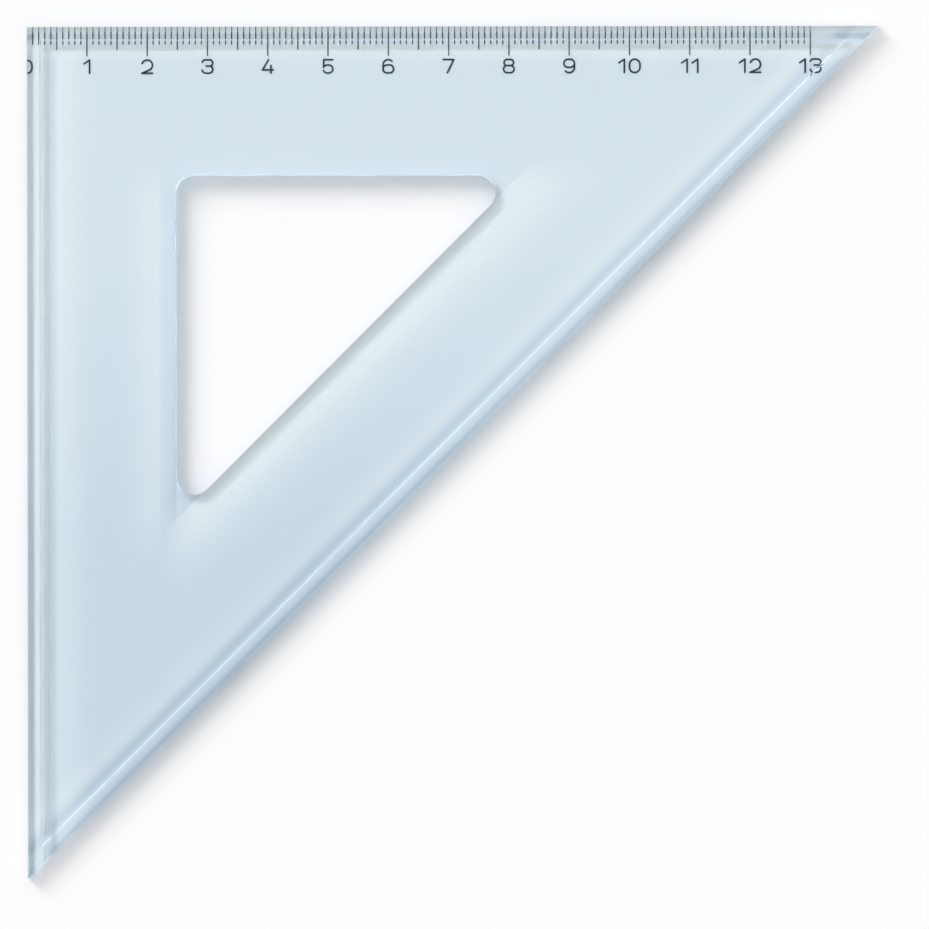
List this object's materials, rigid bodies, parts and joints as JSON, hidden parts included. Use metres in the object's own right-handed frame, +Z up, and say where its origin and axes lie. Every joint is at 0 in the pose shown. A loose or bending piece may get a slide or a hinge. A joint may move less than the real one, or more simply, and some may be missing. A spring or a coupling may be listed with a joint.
{
  "type": "drafting triangle",
  "caption": "Clear 45-degree drafting triangle with a triangular finger opening, a stepped rim and a centimetre scale read through the plate.",
  "frame": {"origin": "middle of the bounding box, on the flat underside that lies on the paper", "axes": "+Z up from the paper, +X along the scale from 0 to 13, +Y towards the scale edge; the right angle points to -X +Y"},
  "size_m": [0.1412, 0.1412, 0.003],
  "materials": {
    "clear_plastic": "clear, pale blue, polished moulding",
    "scale_ink": "dark ink in fine grooves"
  },
  "bodies": {
    "root": {"triangle_plate": "clear_plastic", "millimetre_lines": "scale_ink", "half_centimetre_lines": "scale_ink", "centimetre_lines": "scale_ink", "numeral_00": "scale_ink", "numeral_01": "scale_ink", "numeral_02": "scale_ink", "numeral_03": "scale_ink", "numeral_04": "scale_ink", "numeral_05": "scale_ink", "numeral_06": "scale_ink", "numeral_07": "scale_ink", "numeral_08": "scale_ink", "numeral_09": "scale_ink", "numeral_10": "scale_ink", "numeral_11": "scale_ink", "numeral_12": "scale_ink", "numeral_13": "scale_ink"}
  },
  "joints": []
}
